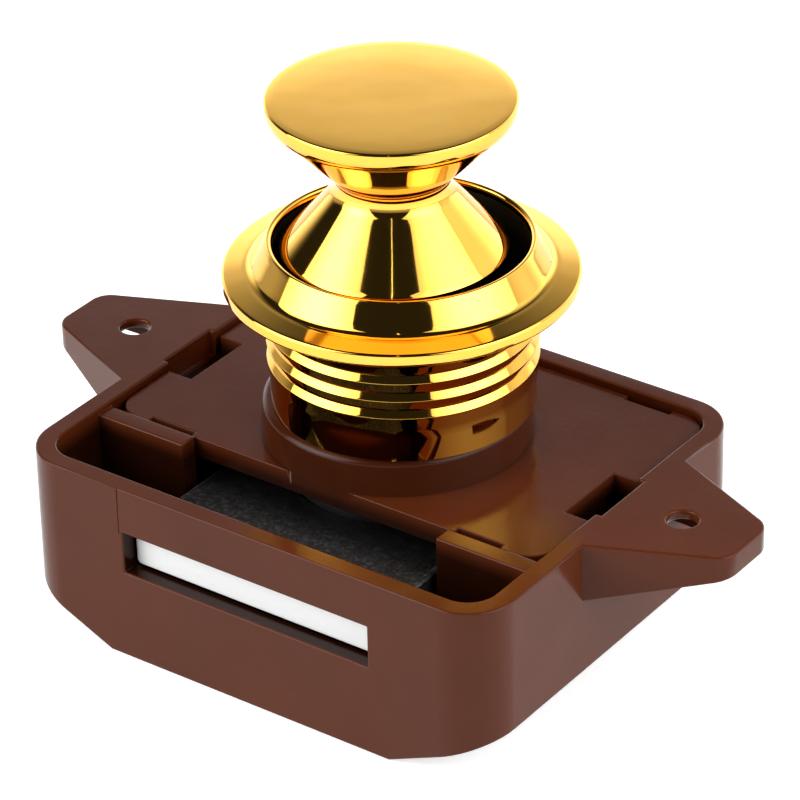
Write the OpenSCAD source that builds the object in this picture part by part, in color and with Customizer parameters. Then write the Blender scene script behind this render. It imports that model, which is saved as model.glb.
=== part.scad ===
// Push button cabinet lock: moulded case with two ears, snap-in cover, cam driven bolt,
// spring plunger held by a heart shaped track, plated knob and lift-off door rosette.
// Millimetres. z = 0 is the case rim that lies on the door, +Z points to the knob,
// the knob axis is x = y = 0 and the bolt leaves the case along -Y.

/* [Door] */
// Diameter of the hole in the door that takes the rosette sleeve
door_hole_d = 26; // [25.8:0.1:27]
// Door thickness between the case rim and the rosette flange
door_t = 15.6; // [15:0.1:20]

/* [Case] */
// Length of the case along the bolt face
case_len = 53.6; // [53:0.2:60]
// Distance from the knob axis to the front face
backset = 24.7; // [24.5:0.1:30]
// Distance from the knob axis to the back face
case_back = 18.9; // [18.8:0.1:24]
// Depth of the case below the rim
case_h = 18.6; // [18.4:0.1:21]
// Thickness of the outer walls
wall = 2.0; // [1.9:0.1:2.2]
// Radius of the upright outer corners
corner_r = 5; // [4.5:0.1:6]

/* [Ears] */
// Distance between the two screw holes
screw_spacing = 63.8; // [63:0.2:70]
// Diameter of the screw holes
screw_d = 3; // [2.6:0.1:4]
// Width of an ear where it meets the case
ear_root_w = 17.6; // [16:0.2:22]

/* [Bolt] */
// Width of the bolt
bolt_w = 27.8; // [27:0.2:29]
// Thickness of the bolt at its front
bolt_t = 4.0; // [3.6:0.1:4.3]
// Travel of the bolt out of the case
bolt_throw = 7.5; // [6:0.1:8]

/* [Knob] */
// Diameter of the knob head
knob_d = 23.3; // [22:0.1:23.3]
// Diameter of the waist between head and skirt
knob_waist_d = 11.5; // [11.4:0.1:13]
// Height of the knob from skirt edge to top
knob_h = 15.3; // [15.2:0.1:18]

/* [Rosette] */
// Diameter of the rosette flange
flange_d = 33.5; // [32:0.1:40]

/* [Fits] */
// Radial clearance of parts that slide in each other
slide_gap = 0.05; // [0.04:0.01:0.08]
// Gap beside the cover plate
cover_gap = 0.25; // [0.2:0.05:0.5]

/* [Hidden] */
$fn = 72;

// Case shell
x_out = case_len / 2;
x_in = x_out - wall;
y_front = -backset;
y_back = case_back;
floor_t = 1.6;
z_floor = floor_t - case_h;
end_rise = 4.7;
end_run = 10.6;
ledge = 1.2;
cover_t = 2.15;
cover_top = -0.65;
cover_bot = cover_top - cover_t;
x_ledge = x_in - ledge;
y_ledge = y_back - wall - ledge;
sill_front = -14.6;
sill_back = -12.6;
sill_half = 14.6;
cover_gap_back = 0.15;
cover_gap_front = 0.1;
notch_x = 17.7;
notch_half = 2.55;
notch_depth = 0.75;

// Snap legs under the cover, and the play of their hooks in the case
leg_half = 3.4;
leg_t = 1.4;
leg_x = x_ledge - 2.2;
leg_end_z = -9.0;
hook_x = x_out - 2.2;
hook_z = -5.5;
hook_t = 0.7;
hook_play = 0.2;
window_half = leg_half + 0.7;
window_x = x_ledge - 1.85;

// Ears
ear_tip_x = screw_spacing / 2 + 7.1;
ear_tip_r = 2.2;
ear_tip_half = 4.2;
ear_tip_t = 2.4;
ear_root_t = 6.1;
ear_skin = 1.0;
ear_wall = 1.3;

// Rosette and knob sizes that follow the door hole
sleeve_r = door_hole_d / 2 - 0.4;
sleeve_bore_r = sleeve_r - 0.55;
barb_r = sleeve_r + 0.25;
barb_root_r = sleeve_r - 0.15;
flange_r = flange_d / 2;
flange_z = door_t;
brim_t = 1.6;
rim_round = 0.3;
collar_h = 4.4;
collar_slope = 60;
collar_foot_round = 0.3;
lip_round = 0.2;
knob_r = knob_d / 2;
knob_z = flange_z + 3.2;
knob_top = knob_z + knob_h;
skirt_r = knob_r - 1.1;
waist_r = knob_waist_d / 2;
waist_z = knob_z + 0.476 * knob_h;
neck_round = 1.3;
flare = 45.4;
shoulder_round = 2.0;
top_round = 0.25;
top_dome = 0.16;

// Straight part of the flare under the knob head
flare_r0 = waist_r + neck_round * (1 - sin(flare));
flare_z0 = waist_z + neck_round * cos(flare);
flare_r1 = knob_r - shoulder_round * (1 - sin(flare));
flare_z1 = flare_z0 + (flare_r1 - flare_r0) * tan(flare);

// Boss on the cover
boss_r = sleeve_r + 0.3;
boss_z = 3.1;
boss_round = 0.75;
spigot_r = sleeve_bore_r - 1.3;
spigot_z = 5;

// The loose rosette lies to one side, no further than the knob head can pass on a leaning way
head_play = sleeve_bore_r - knob_r - slide_gap;
lift_low = flare_z1 - flange_z - collar_h;
lift_high = knob_top + top_dome - boss_z;
rosette_lie = min(0.8, head_play * (lift_high + lift_low) / (lift_high - lift_low));

// Plunger, cam and spring
stem_r = 8;
stem_bore_r = 6;
floor_gap = 0.2;
plunger_flange_r = bolt_w / 2 - 3.5;
plunger_flange_t = 3.35;
flange_top = cover_bot - slide_gap;
flange_bot = flange_top - plunger_flange_t;
stroke = flange_bot - z_floor - floor_gap;
over_travel = 1.0;
spring_roof = 8;
stem_shoulder = knob_z - 2.8;
knob_seat = knob_z + 2.6;
knob_seat_r = 6.3;

// Screw that joins knob and plunger
screw_r = 1.9;
screw_head_r = 3.4;
screw_head_t = 2.2;
screw_reach = 8.5;
screw_slot_w = 0.7;
screw_slot_depth = 1.1;

// Heart track on the back of the plunger
pad_half = 3.6;
pad_y = 9.6;
pad_top = flange_bot + stroke + 4.0;
track_depth = 1.4;
lane_x = 1.9;
lane_half = 0.75;
tip_r = 0.6;
tip_z = flange_bot + 1.6;
latch_z = tip_z + stroke - over_travel;

// Follower
follower_z = z_floor + 3.0;
follower_len = tip_z - follower_z;
follower_angle = asin(lane_x / follower_len);
arm_y0 = pad_y + 0.25;
arm_t = 1.2;
arm_half = 1.0;
eye_r = 1.9;
eye_pin_r = 0.8;
post_y = arm_y0 + arm_t + 0.3;
post_half = 3;
post_top = follower_z + 3.5;

// Leaf spring behind the follower
leaf_half = 1.2;
leaf_t = 0.3;
leaf_y = post_y + 1.06;
leaf_play = 0.06;
leaf_foot = 2.3;

// Drive pins and the slots they work in
pin_r = 0.9;
pin_z = flange_top - 1.75;
slot_r = pin_r + slide_gap;
cheek_t = 3.15;
cheek_x = bolt_w / 2 - cheek_t;

// Bolt
slot_half = bolt_w / 2 + 0.15;
bolt_bot = -8.9;
bolt_top = bolt_bot + bolt_t;
slot_bot = bolt_bot - 0.28;
slot_top = bolt_top + 0.08;
bolt_nose_y = y_front + 1.7;
bolt_nose = 0.15;
bolt_edge_round = 0.6;

// Spring
wire_r = 0.5;
coil_r = 5;
turns = 8.5;
rings = 8;
sides = 6;
coil_z0 = z_floor + wire_r + 0.02;
coil_z1 = spring_roof - wire_r - 0.02;
coil_n = turns * rings;
close_ends = 0.42;

brown = [0.33, 0.20, 0.17];
gold = [0.86, 0.62, 0.22];
steel = [0.62, 0.63, 0.65];
zinc = [0.42, 0.42, 0.43];
acetal = [0.09, 0.09, 0.10];

// Points on a circular arc, angles in degrees
function arc(cx, cy, r, a0, a1, n) =
    [for (i = [0:n]) [cx + r * cos(a0 + (a1 - a0) * i / n), cy + r * sin(a0 + (a1 - a0) * i / n)]];

// Rectangle with round corners
module plan(x0, x1, y0, y1, r) {
    translate([x0 + r, y0]) square([x1 - x0 - 2 * r, y1 - y0]);
    translate([x0, y0 + r]) square([x1 - x0, y1 - y0 - 2 * r]);
    for (x = [x0 + r, x1 - r], y = [y0 + r, y1 - r]) {
        translate([x, y]) circle(r);
    }
}

// Drawing in x and z pushed out along y between two planes
module along_y(y0, y1) {
    translate([0, y1, 0]) rotate([90, 0, 0]) linear_extrude(y1 - y0) children();
}

// Drawing in y and z pushed out along x between two planes
module along_x(x0, x1) {
    translate([x0, 0, 0]) rotate([90, 0, 90]) linear_extrude(x1 - x0) children();
}

module box(x0, x1, y0, y1, z0, z1) {
    translate([x0, y0, z0]) cube([x1 - x0, y1 - y0, z1 - z0]);
}

// End view of the case with its two sloped lower corners, shrunk inwards by d
module end_view(d, up) {
    grade = end_rise / end_run;
    drop = d * sqrt(1 + grade * grade);
    zf = d - case_h;
    xf = x_out - end_run - (drop - d) / grade;
    xe = x_out + 1;
    ze = zf + (xe - xf) * grade;
    polygon([[-xf, zf], [xf, zf], [xe, ze], [xe, up], [-xe, up], [-xe, ze]]);
}

// Ear outline from an x on, shrunk inwards by d. The straight flanks run into two tip corners,
// a hair inside their tangents.
module ear_plan(x_start, d) {
    half = ear_root_w / 2;
    cx = ear_tip_x - ear_tip_r;
    cy = ear_tip_half - ear_tip_r;
    dx = cx - x_out;
    dy = cy - half;
    dist = sqrt(dx * dx + dy * dy);
    touch = ear_tip_r - 0.01;
    turn = atan2(dy, dx) + asin(touch / dist);
    run = sqrt(dist * dist - touch * touch);
    tx = x_out + d * sin(turn) + run * cos(turn);
    ty = half - d * cos(turn) + run * sin(turn);
    root = ty - (tx - x_out) * tan(turn);
    tip = ear_tip_x - d;
    polygon([[x_start, root], [x_out, root], [tx, ty], [cx, cy], [tip, cy],
             [tip, -cy], [cx, -cy], [tx, -ty], [x_out, -root], [x_start, -root]]);
    for (s = [-1, 1]) {
        translate([cx, s * cy]) circle(ear_tip_r - d);
    }
}

module ear() {
    low = -ear_root_t - 1;
    difference() {
        intersection() {
            translate([0, 0, low]) linear_extrude(-low) ear_plan(x_out - 1, 0);
            along_y(-ear_root_w, ear_root_w)
                polygon([[x_out - 1, 0], [ear_tip_x + 1, 0], [ear_tip_x + 1, -ear_tip_t],
                         [ear_tip_x, -ear_tip_t], [x_out, -ear_root_t], [x_out - 1, -ear_root_t]]);
        }
        // hollow below the skin that the screw clamps
        translate([0, 0, low - 1]) linear_extrude(1 - low - ear_skin) ear_plan(x_out - 0.5, ear_wall);
        translate([screw_spacing / 2, 0, low]) cylinder(r = screw_d / 2, h = 1 - low);
    }
}

module case() {
    color(brown) difference() {
        union() {
            // tub below the cover ledge
            difference() {
                intersection() {
                    translate([0, 0, -case_h]) linear_extrude(case_h + cover_bot)
                        plan(-x_out, x_out, y_front, y_back, corner_r);
                    along_y(y_front - 1, y_back + 1) end_view(0, 0);
                }
                // chamber for plunger and bolt
                intersection() {
                    translate([0, 0, -case_h]) linear_extrude(case_h)
                        plan(-x_ledge, x_ledge, sill_back, y_ledge, 2);
                    along_y(y_front, y_back) end_view(floor_t, 1);
                }
                // front pocket across the bolt face
                intersection() {
                    translate([0, 0, -case_h]) linear_extrude(case_h) union() {
                        plan(-x_in, x_in, y_front + wall, sill_front - 1, corner_r - wall);
                        translate([-x_in, sill_front - 5]) square([2 * x_in, 5]);
                    }
                    along_y(y_front, y_back) end_view(floor_t, 1);
                }
            }
            translate([0, 0, cover_bot - 0.5]) linear_extrude(0.5 - cover_bot) difference() {
                plan(-x_out, x_out, y_front, y_back, corner_r);
                plan(-x_in, x_in, y_front + wall, y_back - wall, corner_r - wall);
            }
            // upper part of the sill, at both sides of the bolt
            for (s = [0, 1]) {
                mirror([s, 0, 0])
                    box(sill_half, x_in + 0.5, sill_front, sill_back, cover_bot - 0.5, -0.5);
            }
            ear();
            mirror([1, 0, 0]) ear();
            // locating post for the spring
            translate([0, 0, z_floor - 0.5]) cylinder(r = coil_r - wire_r - 0.3, h = 3.2);
            translate([0, 0, z_floor + 2.7])
                cylinder(r1 = coil_r - wire_r - 0.3, r2 = coil_r - wire_r - 1, h = 0.8);
            // rails beside the bolt cheeks
            for (s = [0, 1]) {
                mirror([s, 0, 0]) box(bolt_w / 2 + 0.08, bolt_w / 2 + 1.6, -9.5, 10.5, z_floor - 0.5, -12);
            }
            // block that carries the follower
            box(-post_half, post_half, post_y, y_ledge + 1, z_floor - 0.5, post_top);
        }
        // way for the bolt through the front wall and over the sill
        box(-slot_half, slot_half, y_front - 1, y_front + wall + 0.5, slot_bot, slot_top);
        box(-sill_half, sill_half, sill_front - 0.5, sill_back + 0.5, slot_bot, 1);
        // recesses for the cover's snap hooks
        for (s = [0, 1]) {
            mirror([s, 0, 0]) {
                box(x_in - 1, hook_x + 0.8, -leg_half - hook_play, leg_half + hook_play, cover_bot, 1);
                box(x_ledge - 0.5, hook_x + 0.7, -leg_half - 0.5, leg_half + 0.5,
                    leg_end_z - 0.3, hook_z + hook_play);
            }
        }
        // pivot hole and leaf seat in the follower block
        translate([0, post_y - 0.5, follower_z]) rotate([-90, 0, 0]) cylinder(r = eye_pin_r + 0.01, h = 3.6);
        box(-leaf_half - 0.1, leaf_half + 0.1, leaf_y - leaf_play, leaf_y + leaf_t + leaf_play,
            post_top - leaf_foot - 0.1, post_top + 1);
        // mould parting line on the front face
        box(-14.5, -14.38, y_front - 0.1, y_front + 0.1, slot_top - 0.2, 0.1);
    }
}

module snap_leg() {
    along_y(-leg_half, leg_half)
        polygon([[leg_x - leg_t, cover_bot + 0.5], [leg_x, cover_bot + 0.5],
                 [leg_x, hook_z], [hook_x, hook_z], [hook_x, hook_z - hook_t],
                 [leg_x, leg_end_z], [leg_x - leg_t, leg_end_z]]);
}

module cover_plate() {
    px = x_in - cover_gap;
    py0 = sill_back + cover_gap_front;
    py1 = y_back - wall - cover_gap_back;
    color(brown) difference() {
        union() {
            translate([0, 0, cover_bot]) linear_extrude(cover_t) plan(-px, px, py0, py1, 2.7);
            // boss with a rounded shoulder and the spigot that centres the rosette
            rotate_extrude() union() {
                translate([0, cover_bot]) square([boss_r, boss_z - boss_round - cover_bot]);
                translate([0, cover_bot]) square([boss_r - boss_round, boss_z - cover_bot]);
                translate([boss_r - boss_round, boss_z - boss_round]) circle(boss_round);
                translate([0, cover_bot]) square([spigot_r, spigot_z - cover_bot]);
            }
            snap_leg();
            mirror([1, 0, 0]) snap_leg();
        }
        // bore that guides the plunger, and the keyway of its track pad
        translate([0, 0, cover_bot - 1]) cylinder(r = stem_r + slide_gap, h = 12);
        box(-pad_half - slide_gap, pad_half + slide_gap, 0, spigot_r + 0.6, boss_z, spigot_z + 1);
        box(-pad_half - slide_gap, pad_half + slide_gap, 0, pad_y + 0.1, cover_bot - 1, boss_z + 1);
        // coring of the boss from below
        for (a = [150:30:390]) {
            rotate([0, 0, a]) translate([(stem_r + boss_r) / 2, 0, cover_bot - 1])
                cylinder(r = 1.3, h = boss_z - cover_bot - 0.6);
        }
        // windows over the snap hooks
        for (s = [0, 1]) {
            mirror([s, 0, 0])
                box(window_x, px + 1, -window_half, window_half, cover_bot - 0.1, cover_top + 1);
        }
        // shallow notches in the front and back edges
        for (x = [-notch_x, notch_x]) {
            box(x - notch_half, x + notch_half, py1 - notch_depth, py1 + 1, cover_bot - 1, cover_top + 1);
            box(x - notch_half, x + notch_half, py0 - 1, py0 + notch_depth, cover_bot - 1, cover_top + 1);
        }
    }
}

module rosette() {
    z1 = flange_z;
    brim_z = z1 + brim_t;
    lip_z = z1 + collar_h;
    lip_x = sleeve_bore_r + lip_round;
    // ends of the straight flank of the collar, and the centre of its foot fillet
    flank_x1 = lip_x + lip_round * sin(collar_slope);
    flank_z1 = lip_z - lip_round * (1 - cos(collar_slope));
    flank_z0 = brim_z + collar_foot_round * (1 - cos(collar_slope));
    flank_x0 = flank_x1 + (flank_z1 - flank_z0) / tan(collar_slope);
    foot_x = flank_x0 + collar_foot_round * sin(collar_slope);
    color(gold) translate([rosette_lie, 0, 0]) rotate_extrude() polygon(concat(
        [[sleeve_bore_r, boss_z], [sleeve_r - 0.15, boss_z], [sleeve_r, boss_z + 0.15],
         [sleeve_r, z1 - 9.2], [barb_r, z1 - 7.7], [barb_root_r, z1 - 7.5],
         [barb_r, z1 - 5.9], [barb_root_r, z1 - 5.7], [barb_r, z1 - 4.05], [barb_root_r, z1 - 3.8],
         [sleeve_r - 0.1, z1 - 1], [sleeve_r - 0.1, z1], [flange_r - rim_round, z1]],
        arc(flange_r - rim_round, z1 + rim_round, rim_round, -90, 0, 4),
        arc(flange_r - rim_round, brim_z - rim_round, rim_round, 0, 90, 4),
        arc(foot_x, brim_z + collar_foot_round, collar_foot_round, 270, 270 - collar_slope, 6),
        arc(lip_x, lip_z - lip_round, lip_round, 90 - collar_slope, 180, 6)));
}

module knob() {
    color(gold) difference() {
        rotate_extrude() polygon(concat(
            [[0, knob_z], [skirt_r - 0.15, knob_z], [skirt_r, knob_z + 0.15]],
            arc(waist_r + neck_round, waist_z, neck_round, 180, 90 + flare, 8),
            arc(knob_r - shoulder_round, flare_z1 + shoulder_round * cos(flare), shoulder_round,
                flare - 90, 0, 6),
            arc(knob_r - top_round, knob_top - top_round, top_round, 0, 86, 4),
            [[0.6 * knob_r, knob_top + 0.38 * top_dome], [0.3 * knob_r, knob_top + 0.88 * top_dome],
             [0, knob_top + top_dome]]));
        // hollow skirt around the plunger's neck
        translate([0, 0, knob_z - 0.01])
            cylinder(r1 = skirt_r - 1.3, r2 = knob_seat_r + 0.2, h = knob_seat - knob_z + 0.01);
        translate([0, 0, knob_seat - 1]) cylinder(r = screw_r + 0.02, h = screw_reach + 1.5);
    }
}

module knob_screw() {
    color(steel) difference() {
        union() {
            translate([0, 0, spring_roof - screw_head_t]) cylinder(r = screw_head_r, h = screw_head_t);
            translate([0, 0, spring_roof - 1])
                cylinder(r = screw_r, h = knob_seat + screw_reach - spring_roof + 1);
        }
        for (a = [0, 90]) {
            rotate([0, 0, a])
                translate([-screw_r, -screw_slot_w / 2, spring_roof - screw_head_t - 0.1])
                cube([2 * screw_r, screw_slot_w, screw_slot_depth + 0.1]);
        }
    }
}

// Heart shaped track drawn in x and z, as seen on the pad
module track_plan() {
    reach = lane_x + lane_half;
    low = tip_z - 1.05;
    high = tip_z + stroke + 0.8;
    heart_low = tip_z + 1.1;
    heart_high = latch_z + 0.3;
    half = lane_x - lane_half;
    difference() {
        translate([-reach, low]) square([2 * reach, high - low]);
        difference() {
            polygon([[0, heart_low], [half, heart_low + 1.6], [half, heart_high - 0.6],
                     [0.55, heart_high], [-0.55, heart_high], [-half, heart_high - 0.6],
                     [-half, heart_low + 1.6]]);
            // notch that holds the follower while the bolt is out
            translate([0, latch_z]) circle(tip_r + 0.05);
        }
    }
}

module plunger() {
    color(acetal) difference() {
        union() {
            translate([0, 0, flange_bot]) cylinder(r = stem_r, h = stem_shoulder - flange_bot);
            translate([0, 0, stem_shoulder - 0.5])
                cylinder(r = knob_seat_r, h = knob_seat - stem_shoulder + 0.5);
            translate([0, 0, flange_bot]) cylinder(r = plunger_flange_r, h = plunger_flange_t);
            box(-pad_half, pad_half, 0, pad_y, flange_bot, pad_top);
        }
        // flat behind the track so the flange passes the follower
        box(-15, 15, pad_y, 15, flange_bot - 1, flange_top + 1);
        // well for the spring, bore for the screw
        translate([0, 0, flange_bot - 1]) cylinder(r = stem_bore_r, h = spring_roof - flange_bot + 1);
        translate([0, 0, spring_roof - 1]) cylinder(r = screw_r + slide_gap, h = knob_seat);
        along_y(pad_y - track_depth, pad_y + 1) track_plan();
        // seats of the drive pins
        for (s = [-1, 1]) {
            translate([0, 0, pin_z]) rotate([0, s * 90, 0]) cylinder(r = pin_r + 0.01, h = 20);
        }
    }
}

module drive_pin() {
    translate([stem_bore_r + 0.5, 0, pin_z]) rotate([0, 90, 0])
        cylinder(r = pin_r, h = bolt_w / 2 - 0.3 - stem_bore_r - 0.5);
}

module drive_pin_left() {
    color(steel) mirror([1, 0, 0]) drive_pin();
}

module drive_pin_right() {
    color(steel) drive_pin();
}

// Side of the fork, drawn in y and z
module cheek_side() {
    z0 = z_floor + 0.08;
    z1 = cover_bot - 0.2;
    polygon([[-2.4, z1], [2.0, z1], [bolt_throw + 2.4, pin_z - stroke + 1.3],
             [bolt_throw + 2.4, z0], [bolt_throw - 2.2, z0], [-2.4, pin_z - 1.6]]);
}

// Sloped slot that turns the plunger's stroke into bolt travel, drawn in y and z
module cam_slot() {
    tilt = atan(bolt_throw / stroke);
    translate([0, pin_z]) circle(slot_r);
    translate([bolt_throw, pin_z - stroke]) circle(slot_r);
    translate([0, pin_z]) rotate(tilt) translate([-slot_r, -stroke / cos(tilt)])
        square([2 * slot_r, stroke / cos(tilt)]);
}

module bolt() {
    half = bolt_w / 2;
    nose = bolt_nose;
    inset = 0.04;
    color(zinc) difference() {
        union() {
            // front block with rounded long edges, and the two arms of the fork
            intersection() {
                translate([0, 0, bolt_bot]) linear_extrude(bolt_t) difference() {
                    polygon([[-half + nose, bolt_nose_y], [half - nose, bolt_nose_y],
                             [half, bolt_nose_y + nose], [half, 2], [-half, 2],
                             [-half, bolt_nose_y + nose]]);
                    circle(plunger_flange_r + 0.3);
                    translate([-cheek_x, -8]) square([2 * cheek_x, 20]);
                }
                along_y(bolt_nose_y - 1, 3) plan(-half, half, bolt_bot, bolt_top, bolt_edge_round);
            }
            along_x(cheek_x + inset, half - inset) cheek_side();
            along_x(inset - half, -cheek_x - inset) cheek_side();
        }
        along_x(-half - 1, half + 1) cam_slot();
    }
}

module heart_follower() {
    color(steel) translate([0, 0, follower_z]) rotate([0, -follower_angle, 0]) difference() {
        union() {
            along_y(arm_y0, arm_y0 + arm_t) union() {
                circle(eye_r);
                translate([-arm_half, 0]) square([2 * arm_half, follower_len]);
                translate([0, follower_len]) circle(arm_half);
            }
            translate([0, pad_y - track_depth + 0.2, follower_len]) rotate([-90, 0, 0])
                cylinder(r = tip_r, h = track_depth + 1);
        }
        translate([0, arm_y0 - 1, 0]) rotate([-90, 0, 0]) cylinder(r = eye_pin_r + slide_gap, h = arm_t + 2);
    }
}

module follower_pin() {
    color(steel) translate([0, arm_y0 - 0.1, follower_z]) rotate([-90, 0, 0])
        cylinder(r = eye_pin_r, h = post_y + 3 - arm_y0 + 0.1);
}

// Leaf that keeps the follower's tip in the track
module follower_spring() {
    y0 = leaf_y;
    y1 = arm_y0 + arm_t + 0.05;
    zt = tip_z - 1.2;
    t = leaf_t;
    color(steel) along_x(-leaf_half, leaf_half)
        polygon([[y0, post_top - leaf_foot], [y0 + t, post_top - leaf_foot], [y0 + t, post_top + 0.6],
                 [y1 + t, zt - 0.8], [y1 + t + 0.5, zt + 0.6], [y1 + 0.4, zt + 0.75],
                 [y1, zt - 0.8], [y0, post_top + 0.5]]);
}

// Centre line of the coil, with closer turns at both ends
function coil_pt(i) =
    let (u = i / coil_n, a = 360 * i / rings)
    [coil_r * cos(a), coil_r * sin(a),
     coil_z0 + (coil_z1 - coil_z0) * (u - close_ends * sin(360 * u) / 360 * 180 / PI)];

function unit(v) = v / norm(v);

module main_spring() {
    line = [for (i = [0:coil_n]) coil_pt(i)];
    tangents = [for (i = [0:coil_n]) unit(coil_pt(i + 0.1) - coil_pt(i - 0.1))];
    pts = [for (i = [0:coil_n]) let (
            out = unit([line[i][0], line[i][1], 0]),
            side = unit(cross(tangents[i], out)))
        for (k = [0:sides - 1])
            line[i] + wire_r * (cos(360 * k / sides) * unit(cross(side, tangents[i]))
                + sin(360 * k / sides) * side)];
    faces = concat(
        [[for (k = [0:sides - 1]) k]],
        [for (i = [0:coil_n - 1], k = [0:sides - 1])
            [i * sides + k, (i + 1) * sides + k, (i + 1) * sides + (k + 1) % sides]],
        [for (i = [0:coil_n - 1], k = [0:sides - 1])
            [i * sides + k, (i + 1) * sides + (k + 1) % sides, i * sides + (k + 1) % sides]],
        [[for (k = [sides - 1:-1:0]) coil_n * sides + k]]);
    gap = min([for (i = [0:coil_n], j = [0:coil_n]) if (j - i > rings / 2) norm(line[i] - line[j])])
        - 2 * wire_r;
    echo(least_gap_between_turns = gap);
    color(steel) polyhedron(points = pts, faces = faces, convexity = 20);
}

case();
cover_plate();
rosette();
knob();
knob_screw();
plunger();
drive_pin_left();
drive_pin_right();
main_spring();
bolt();
heart_follower();
follower_pin();
follower_spring();
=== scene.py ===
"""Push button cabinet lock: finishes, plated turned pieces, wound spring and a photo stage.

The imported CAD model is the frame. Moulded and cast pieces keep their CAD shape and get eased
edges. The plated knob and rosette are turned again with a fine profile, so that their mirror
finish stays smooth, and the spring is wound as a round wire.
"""
import math

import bmesh
import bpy
from mathutils import Matrix, Vector


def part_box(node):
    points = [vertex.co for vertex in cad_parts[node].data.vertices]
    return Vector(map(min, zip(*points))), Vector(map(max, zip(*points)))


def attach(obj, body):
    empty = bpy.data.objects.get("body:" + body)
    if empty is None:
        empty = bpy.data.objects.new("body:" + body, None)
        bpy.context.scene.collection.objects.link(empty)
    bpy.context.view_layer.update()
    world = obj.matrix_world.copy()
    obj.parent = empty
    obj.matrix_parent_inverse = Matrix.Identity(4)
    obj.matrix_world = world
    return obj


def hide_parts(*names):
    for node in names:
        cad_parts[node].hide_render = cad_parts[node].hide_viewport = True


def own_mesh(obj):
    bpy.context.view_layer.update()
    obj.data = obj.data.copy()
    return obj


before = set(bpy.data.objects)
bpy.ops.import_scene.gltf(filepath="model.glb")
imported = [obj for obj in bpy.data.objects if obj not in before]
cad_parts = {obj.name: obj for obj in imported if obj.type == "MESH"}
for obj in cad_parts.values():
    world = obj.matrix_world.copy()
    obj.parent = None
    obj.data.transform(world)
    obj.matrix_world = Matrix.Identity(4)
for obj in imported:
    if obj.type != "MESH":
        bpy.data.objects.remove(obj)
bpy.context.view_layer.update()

bl_info = {
    "name": "Push button cabinet lock",
    "version": (1, 0, 0),
    "blender": (4, 5, 0),
    "location": "View3D > Sidebar > Lock",
    "description": "Dresses the CAD model of a push button cabinet lock and sets its photo stage",
    "category": "Object",
}

MM = 0.001
CASE_LOW, CASE_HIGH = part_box("case")
KNOB_LOW, KNOB_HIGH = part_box("knob")
ROSETTE_LOW, ROSETTE_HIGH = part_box("rosette")
BOLT_LOW, BOLT_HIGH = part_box("bolt")
SPRING_LOW, SPRING_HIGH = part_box("main_spring")
# Radius and wall of the rosette's sleeve, and how far its bore stays gold below the lip
SLEEVE, WALL, GOLD_LIP = 12.6 * MM, 0.55 * MM, 0.8 * MM
# Half width and wall of the tub, front and top of the cover plate
CASE_HALF, CASE_WALL = 26.8 * MM, 2.0 * MM
PLATE_FRONT, PLATE_TOP = -12.5 * MM, -0.65 * MM

# Softboxes: turn from the camera and height angle in degrees, width and height in metres,
# the setting of their light and the share of it
SOFTBOX_DISTANCE = 0.7
SOFTBOXES = (
    ("Left softbox", -72.0, 26.5, 0.78, 0.7, "left_light", 1.0),
    ("Right softbox", 60.0, 28.0, 0.85, 0.72, "right_light", 1.0),
    ("Right fill", 106.0, 28.0, 0.6, 0.72, "right_light", 0.27),
    ("Slit above the camera", -4.0, 50.0, 0.005, 0.26, "left_light", 1.0),
)
# Backdrop in degrees: turn of its middle from the camera, then the heights and the half widths
# between which it fades
BACKDROP_TURN = 172.0
BACKDROP_FADE = (55.0, 5.0)
BACKDROP_SPAN = (64.0, 34.0)
# its lower part is brighter in two steps, with heights and gain
BACKDROP_STEPS = ((30.8, 29.0, 1.17), (27.5, 23.5, 1.5))
# white table edge all round, below the softboxes
TABLE_EDGE, TABLE_SHARE = (16.0, 4.0), 0.35
ROOM_LIGHT = 0.02


class LockShapeSettings(bpy.types.PropertyGroup):
    """Sizes of the visual model that the CAD frame does not give."""

    edge_round: bpy.props.FloatProperty(
        name="Moulded edge",
        description="Width of the eased edges on the case",
        default=0.2 * MM, min=0.05 * MM, max=0.6 * MM, unit="LENGTH")
    cover_edge: bpy.props.FloatProperty(
        name="Cover edge",
        description="Width of the eased edges on the cover plate",
        default=0.12 * MM, min=0.05 * MM, max=0.4 * MM, unit="LENGTH")
    cast_edge: bpy.props.FloatProperty(
        name="Cast edge",
        description="Width of the eased edges on the bolt",
        default=0.22 * MM, min=0.05 * MM, max=0.6 * MM, unit="LENGTH")
    turned_steps: bpy.props.IntProperty(
        name="Turned steps",
        description="Steps around the knob and the rosette",
        default=192, min=48, max=384)
    head_dome: bpy.props.FloatProperty(
        name="Head dome",
        description="Rise of the knob's top from its edge to its middle",
        default=0.12 * MM, min=0.0, max=1.0 * MM, unit="LENGTH")
    brim_fall: bpy.props.FloatProperty(
        name="Brim fall",
        description="How far the rosette's brim drops from the collar to its edge",
        default=0.3 * MM, min=0.0, max=0.8 * MM, unit="LENGTH")
    wire_radius: bpy.props.FloatProperty(
        name="Spring wire radius",
        description="Radius of the round spring wire",
        default=0.5 * MM, min=0.2 * MM, max=0.8 * MM, unit="LENGTH")
    spring_turns: bpy.props.FloatProperty(
        name="Spring turns",
        description="Number of turns of the main spring",
        default=8.5, min=4.0, max=12.0)


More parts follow.
